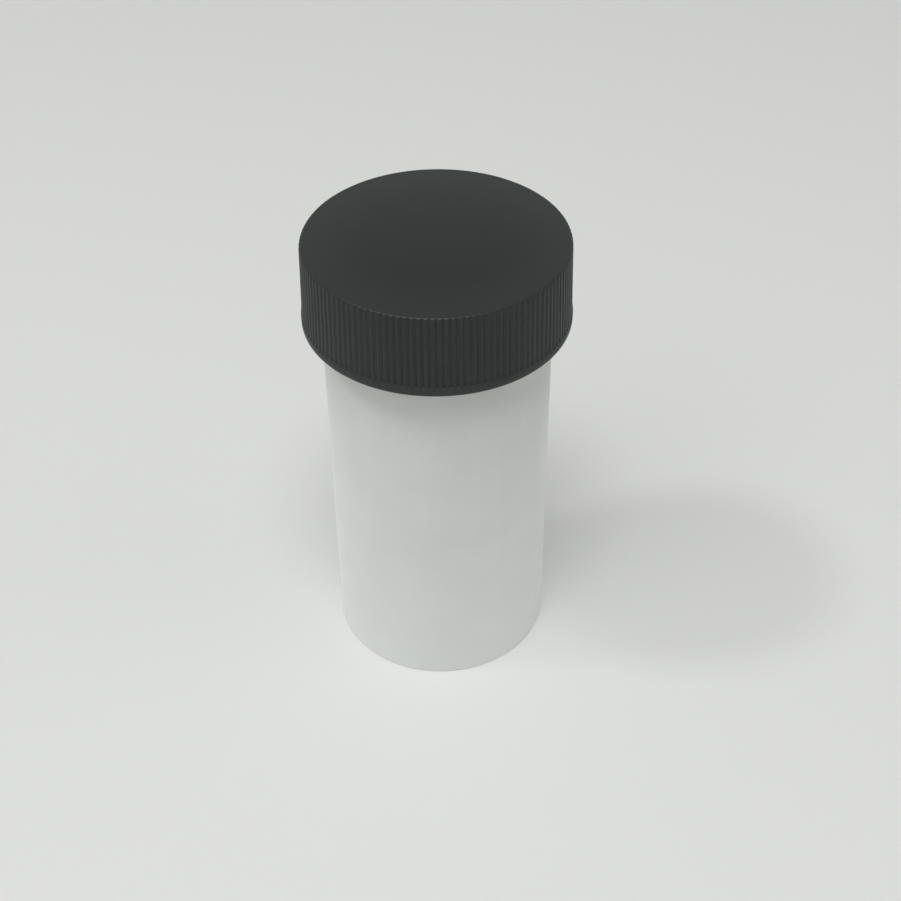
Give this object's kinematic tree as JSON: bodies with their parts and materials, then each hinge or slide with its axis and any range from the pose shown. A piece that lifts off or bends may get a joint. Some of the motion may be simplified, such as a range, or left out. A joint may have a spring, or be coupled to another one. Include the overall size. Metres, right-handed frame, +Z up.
{
  "type": "reagent bottle",
  "caption": "Straight-walled wide-mouth plastic reagent bottle in milky white, with a finely ribbed black screw cap that seals on its lip through a soft liner.",
  "frame": {"origin": "centre of the ring that the bottle stands on, on the surface under it", "axes": "+Z up along the bottle's axis; the bottle is round, so +X only marks where its moulding seam lies"},
  "size_m": [0.04, 0.04, 0.073],
  "materials": {
    "milky_plastic": "satin",
    "black_plastic": "satin",
    "liner_foam": "matte",
    "liner_facing": "satin"
  },
  "bodies": {
    "bottle": {"bottle_body": "milky_plastic"},
    "liner": {"liner_facing": "liner_facing", "liner_foam": "liner_foam"},
    "cap": {"screw_cap": "black_plastic"}
  },
  "joints": [
    {"name": "cap_lift", "type": "slide", "parent": "bottle", "child": "liner", "axis": [0, 0, 1], "range_m": [0, 0.0127]},
    {"name": "cap_turn", "type": "hinge", "parent": "liner", "child": "cap", "pos_m": [0, 0, 0.0665], "axis": [0, 0, 1], "range_deg": [0, 1080]}
  ],
  "couplings": [
    {"joint": "cap_lift", "follows": "cap_turn", "m_per_rad": 0.00067323}
  ]
}
